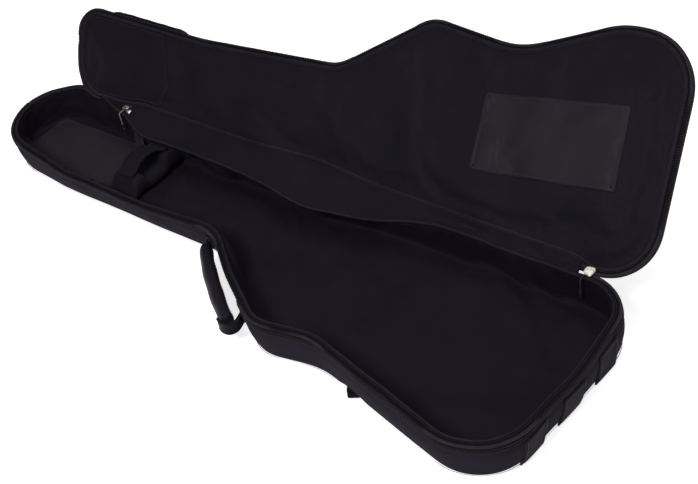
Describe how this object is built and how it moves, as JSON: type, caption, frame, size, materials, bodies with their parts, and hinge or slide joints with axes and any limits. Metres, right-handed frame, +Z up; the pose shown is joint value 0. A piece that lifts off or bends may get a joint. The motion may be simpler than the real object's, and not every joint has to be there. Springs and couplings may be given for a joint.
{
  "type": "padded gig bag",
  "caption": "Padded gig bag for a bass guitar, lying on its back with its hinged padded lid open, with a carry handle, neck cradle, zipper and outside pockets.",
  "frame": {"origin": "on the ground under the middle of the bag, on the flat face of the padded back that it lies on", "axes": "+X along the bag from the head end to the body end, +Y from the carry handle's side to the lid's hinge, +Z up"},
  "size_m": [1.2545, 0.6256, 0.3284],
  "materials": {
    "shell_fabric": "black woven polyester, dull",
    "foam": "closed-cell foam, hidden",
    "lining_fabric": "black smooth brushed lining",
    "piping": "black folded binding over a cord",
    "zipper_tape": "black knitted tape",
    "zipper_coil": "black moulded coil",
    "wear_cloth": "black coated cloth, slightly shiny",
    "cradle_cloth": "black brushed cover over a foam block",
    "hook_and_loop": "black padded strap with a hook-and-loop end",
    "webbing": "black ribbed webbing",
    "grip_cloth": "black padded grip cover with a soft sheen",
    "strap_mesh": "black padded strap",
    "buckle_plastic": "black moulded buckle",
    "slider_metal": "polished nickel",
    "pull_cord": "dark braided cord"
  },
  "bodies": {
    "tray": {"back_shell": "shell_fabric", "back_foam": "foam", "floor_lining": "lining_fabric", "wall_shell": "shell_fabric", "wall_foam": "foam", "wall_lining": "lining_fabric", "rim_binding": "lining_fabric", "rim_piping": "piping", "tray_zipper_tape": "zipper_tape", "tray_zipper_coil": "zipper_coil", "hinge_strip_tray": "shell_fabric", "floor_head_patch": "wear_cloth", "neck_cradle": "cradle_cloth", "neck_strap_root": "hook_and_loop", "neck_strap_catch": "hook_and_loop", "handle_anchor_head": "webbing", "handle_anchor_end": "webbing", "end_bumper_near": "wear_cloth", "end_bumper_middle": "wear_cloth", "end_bumper_far": "wear_cloth", "shoulder_strap_near": "strap_mesh", "strap_adjuster_near": "buckle_plastic", "strap_tail_near": "webbing", "shoulder_strap_far": "strap_mesh", "strap_adjuster_far": "buckle_plastic", "strap_tail_far": "webbing"},
    "lid": {"lid_zipper_coil": "zipper_coil", "lid_zipper_tape": "zipper_tape", "hinge_strip_lid": "shell_fabric", "lid_band": "shell_fabric", "lid_foam": "foam", "lid_lining": "lining_fabric", "lid_shell": "shell_fabric", "lid_inner_piping": "piping", "lid_outer_piping": "piping", "lid_bridge_patch": "wear_cloth", "lid_head_patch": "wear_cloth", "body_pocket": "shell_fabric", "body_pocket_zipper": "zipper_tape", "neck_pocket": "shell_fabric", "neck_pocket_zipper": "zipper_tape"},
    "carry_handle": {"handle_grip": "grip_cloth", "handle_webbing_head": "webbing", "handle_webbing_end": "webbing"},
    "neck_strap": {"neck_strap": "hook_and_loop"},
    "head_slider": {"head_slider": "slider_metal"},
    "head_pull": {"head_pull": "pull_cord"},
    "end_slider": {"end_slider": "slider_metal"},
    "end_pull": {"end_pull": "pull_cord"},
    "body_pocket_slider": {"body_pocket_slider": "slider_metal"},
    "body_pocket_pull": {"body_pocket_pull": "pull_cord"},
    "neck_pocket_slider": {"neck_pocket_slider": "slider_metal"},
    "neck_pocket_pull": {"neck_pocket_pull": "pull_cord"}
  },
  "joints": [
    {"name": "lid_hinge", "type": "hinge", "parent": "tray", "child": "lid", "pos_m": [0, 0.183, 0.082], "axis": [1, 0, 0], "range_deg": [-44, 136]},
    {"name": "handle_hinge", "type": "hinge", "parent": "tray", "child": "carry_handle", "pos_m": [-0.05532, -0.0095, 0.04], "axis": [0.8476, -0.5306, 0], "range_deg": [-85, 55]},
    {"name": "neck_strap_hinge", "type": "hinge", "parent": "tray", "child": "neck_strap", "pos_m": [-0.306, 0.143, 0.0644], "axis": [1, 0, 0], "range_deg": [-100, 0]},
    {"name": "head_slider_travel", "type": "slide", "parent": "tray", "child": "head_slider", "axis": [-1, 0, 0], "range_m": [0, 0.13]},
    {"name": "head_pull_swing", "type": "hinge", "parent": "head_slider", "child": "head_pull", "pos_m": [-0.425, 0.1748, 0.0834], "axis": [1, 0, 0], "range_deg": [-90, 0]},
    {"name": "end_slider_travel", "type": "slide", "parent": "tray", "child": "end_slider", "axis": [1, 0, 0], "range_m": [0, 0.012]},
    {"name": "end_pull_swing", "type": "hinge", "parent": "end_slider", "child": "end_pull", "pos_m": [0.535, 0.1748, 0.0834], "axis": [1, 0, 0], "range_deg": [-90, 0]},
    {"name": "body_pocket_slider_travel", "type": "slide", "parent": "lid", "child": "body_pocket_slider", "axis": [1, 0, 0], "range_m": [0, 0.333]},
    {"name": "body_pocket_pull_swing", "type": "hinge", "parent": "body_pocket_slider", "child": "body_pocket_pull", "pos_m": [0.1985, 0.39775, 0.21807], "axis": [0, 0.7193, 0.6947], "range_deg": [0, 180]},
    {"name": "neck_pocket_slider_travel", "type": "slide", "parent": "lid", "child": "neck_pocket_slider", "axis": [1, 0, 0], "range_m": [0, 0.173]},
    {"name": "neck_pocket_pull_swing", "type": "hinge", "parent": "neck_pocket_slider", "child": "neck_pocket_pull", "pos_m": [-0.5415, 0.31518, 0.14667], "axis": [0, 0.7193, 0.6947], "range_deg": [0, 180]}
  ]
}
